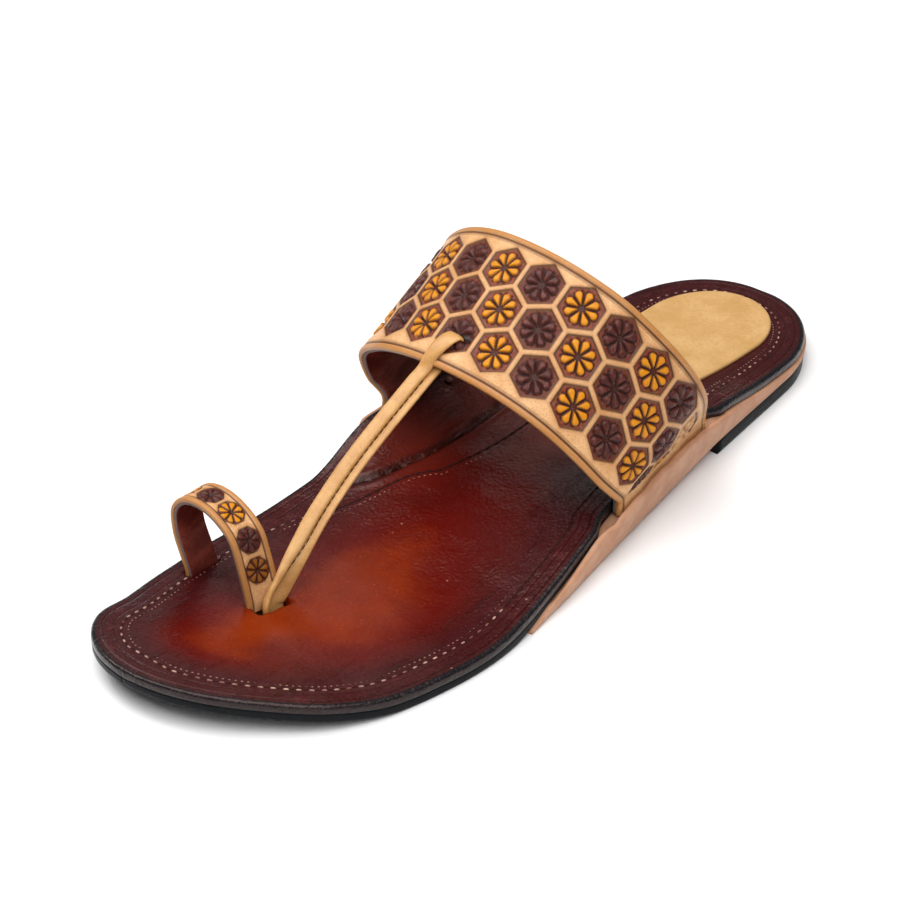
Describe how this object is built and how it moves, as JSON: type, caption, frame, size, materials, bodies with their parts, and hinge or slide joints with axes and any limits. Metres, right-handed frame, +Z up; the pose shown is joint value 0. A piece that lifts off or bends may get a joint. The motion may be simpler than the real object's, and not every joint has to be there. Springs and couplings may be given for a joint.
{
  "type": "kolhapuri chappal",
  "caption": "Left open leather sandal with a broad tooled instep band, a toe thong and a big toe loop on a flat layered sole with a low heel.",
  "frame": {"origin": "middle of the whole box, on the floor plane", "axes": "+Z up, -Y towards the toe, +Y towards the heel, +X towards the outer side of the left foot"},
  "size_m": [0.0976, 0.2738, 0.0763],
  "materials": {
    "black_edge": "black painted and burnished edge, satin",
    "footbed": "burgundy burnished leather, glossy",
    "natural_side": "natural tan leather, matt",
    "tooled_strap": "tan tooled leather, hand painted, satin",
    "lining": "dark burgundy lining, satin",
    "sock": "tan sock pad with a fine woven grain, matt",
    "thread": "pale waxed thread"
  },
  "bodies": {
    "root": {"outsole": "black_edge", "midsole_wedge": "natural_side", "heel_lift": "black_edge", "insole": "footbed", "heel_pad": "sock", "upper_straps": "tooled_strap", "toe_loop": "tooled_strap"}
  },
  "joints": []
}
